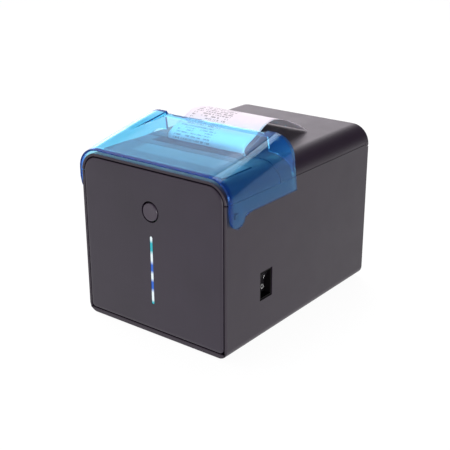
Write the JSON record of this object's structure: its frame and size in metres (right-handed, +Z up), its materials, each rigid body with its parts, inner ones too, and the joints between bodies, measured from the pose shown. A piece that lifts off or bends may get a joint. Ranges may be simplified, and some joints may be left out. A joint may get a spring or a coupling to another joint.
{
  "type": "receipt printer",
  "caption": "Compact thermal receipt printer with a rear paper lid, a see-through blue splash cover, a feed button, a light bar and a printed receipt coming out.",
  "frame": {"origin": "on the surface it stands on, under the middle of the printer", "axes": "+X to the right seen from the front, +Y from the front panel to the rear, +Z up"},
  "size_m": [0.154, 0.207, 0.1651],
  "materials": {
    "case": "fine matte texture, dark grey",
    "panel": "fine matte texture, dark grey",
    "button": "smooth satin, dark grey",
    "light": "lit light guide, white, cyan and blue",
    "hood": "clear blue plastic, polished",
    "black_plastic": "moulded black plastic",
    "rocker": "polished black plastic",
    "socket_metal": "plated socket shell",
    "rubber": "matte black rubber",
    "steel": "zinc-plated steel",
    "motor": "plated motor can",
    "aluminium": "milled aluminium",
    "nylon": "natural nylon",
    "board": "green solder mask",
    "paper": "smooth thermal paper",
    "card": "wound card core"
  },
  "bodies": {
    "root": {"case_shell": "case", "top_front_cover": "case", "cutter_access_cover": "case", "front_panel": "panel", "led_light_bar": "light", "splash_hinge_pin_left": "black_plastic", "splash_hinge_pin_right": "black_plastic", "switch_housing": "black_plastic", "base_plate": "black_plastic", "inner_frame": "black_plastic", "cutter_base": "black_plastic", "paper_sensor": "black_plastic", "power_jack": "black_plastic", "drawer_port": "black_plastic", "usb_port": "socket_metal", "network_port": "socket_metal", "rubber_foot_1": "rubber", "rubber_foot_2": "rubber", "rubber_foot_3": "rubber", "rubber_foot_4": "rubber", "base_screw_1": "steel", "base_screw_2": "steel", "base_screw_3": "steel", "base_screw_4": "steel", "board_screw_1": "steel", "board_screw_2": "steel", "lid_hinge_pin_left": "steel", "lid_hinge_pin_right": "steel", "mechanism_chassis": "steel", "head_pivot_pin": "steel", "head_spring_left": "steel", "head_spring_right": "steel", "idler_axle": "steel", "feed_motor": "motor", "cutter_motor": "motor", "main_board": "board", "panel_board": "board"},
    "lid": {"rear_lid": "case", "platen_holder": "black_plastic", "platen_bearing_left": "nylon", "platen_bearing_right": "nylon", "fixed_blade": "steel", "receipt": "paper"},
    "platen": {"platen_roller": "rubber", "platen_shaft": "steel", "platen_gear": "nylon"},
    "hood": {"splash_cover": "hood"},
    "button": {"feed_button": "button"},
    "rocker": {"power_rocker": "rocker"},
    "roll": {"paper_roll": "paper", "roll_core": "card"},
    "print_head": {"thermal_head": "aluminium", "head_bracket": "aluminium"},
    "idler": {"idler_gear": "nylon"},
    "pinion": {"motor_pinion": "nylon"},
    "blade": {"moving_blade": "steel"},
    "cutter_gear": {"cutter_pinion": "nylon"}
  },
  "joints": [
    {"name": "lid_hinge", "type": "hinge", "parent": "root", "child": "lid", "pos_m": [0, 0.1013, 0.1286], "axis": [-1, 0, 0], "range_deg": [0, 60]},
    {"name": "splash_cover_hinge", "type": "hinge", "parent": "root", "child": "hood", "pos_m": [0, -0.092, 0.118], "axis": [1, 0, 0], "range_deg": [0, 108]},
    {"name": "platen_spin", "type": "hinge", "parent": "lid", "child": "platen", "pos_m": [0, -0.0276, 0.1285], "axis": [1, 0, 0], "continuous": true},
    {"name": "idler_spin", "type": "hinge", "parent": "root", "child": "idler", "pos_m": [0, -0.0276, 0.1093], "axis": [1, 0, 0], "continuous": true},
    {"name": "motor_pinion_spin", "type": "hinge", "parent": "root", "child": "pinion", "pos_m": [0, -0.04253, 0.09997], "axis": [1, 0, 0], "continuous": true},
    {"name": "paper_roll_spin", "type": "hinge", "parent": "root", "child": "roll", "pos_m": [0, 0.0355, 0.09], "axis": [1, 0, 0], "continuous": true},
    {"name": "feed_button_press", "type": "slide", "parent": "root", "child": "button", "axis": [0, 1, 0], "range_m": [0, 0.0012], "stiffness_N_per_m": 600, "springref_m": -0.0015},
    {"name": "power_rocker_tilt", "type": "hinge", "parent": "root", "child": "rocker", "pos_m": [0.0642, -0.0513, 0.0488], "axis": [0, -1, 0], "range_deg": [0, 20]},
    {"name": "head_tilt", "type": "hinge", "parent": "root", "child": "print_head", "pos_m": [0, -0.0422, 0.116], "axis": [1, 0, 0], "range_deg": [0, 1.5], "stiffness_Nm_per_rad": 8, "springref_deg": -4.58, "deforming": ["head_spring_left", "head_spring_right"]},
    {"name": "cutter_slide", "type": "slide", "parent": "root", "child": "blade", "axis": [0, 1, 0], "range_m": [0, 0.007]},
    {"name": "cutter_pinion_spin", "type": "hinge", "parent": "root", "child": "cutter_gear", "pos_m": [-0.0032, -0.0735, 0.1358], "axis": [0, 0, 1], "range_deg": [-90, 0]}
  ],
  "couplings": [
    {"joint": "splash_cover_hinge", "follows": "lid_hinge", "ratio": 1.8},
    {"joint": "idler_spin", "follows": "platen_spin", "ratio": -0.6},
    {"joint": "motor_pinion_spin", "follows": "platen_spin", "ratio": 1.2857},
    {"joint": "cutter_pinion_spin", "follows": "cutter_slide", "rad_per_m": -208.33}
  ]
}
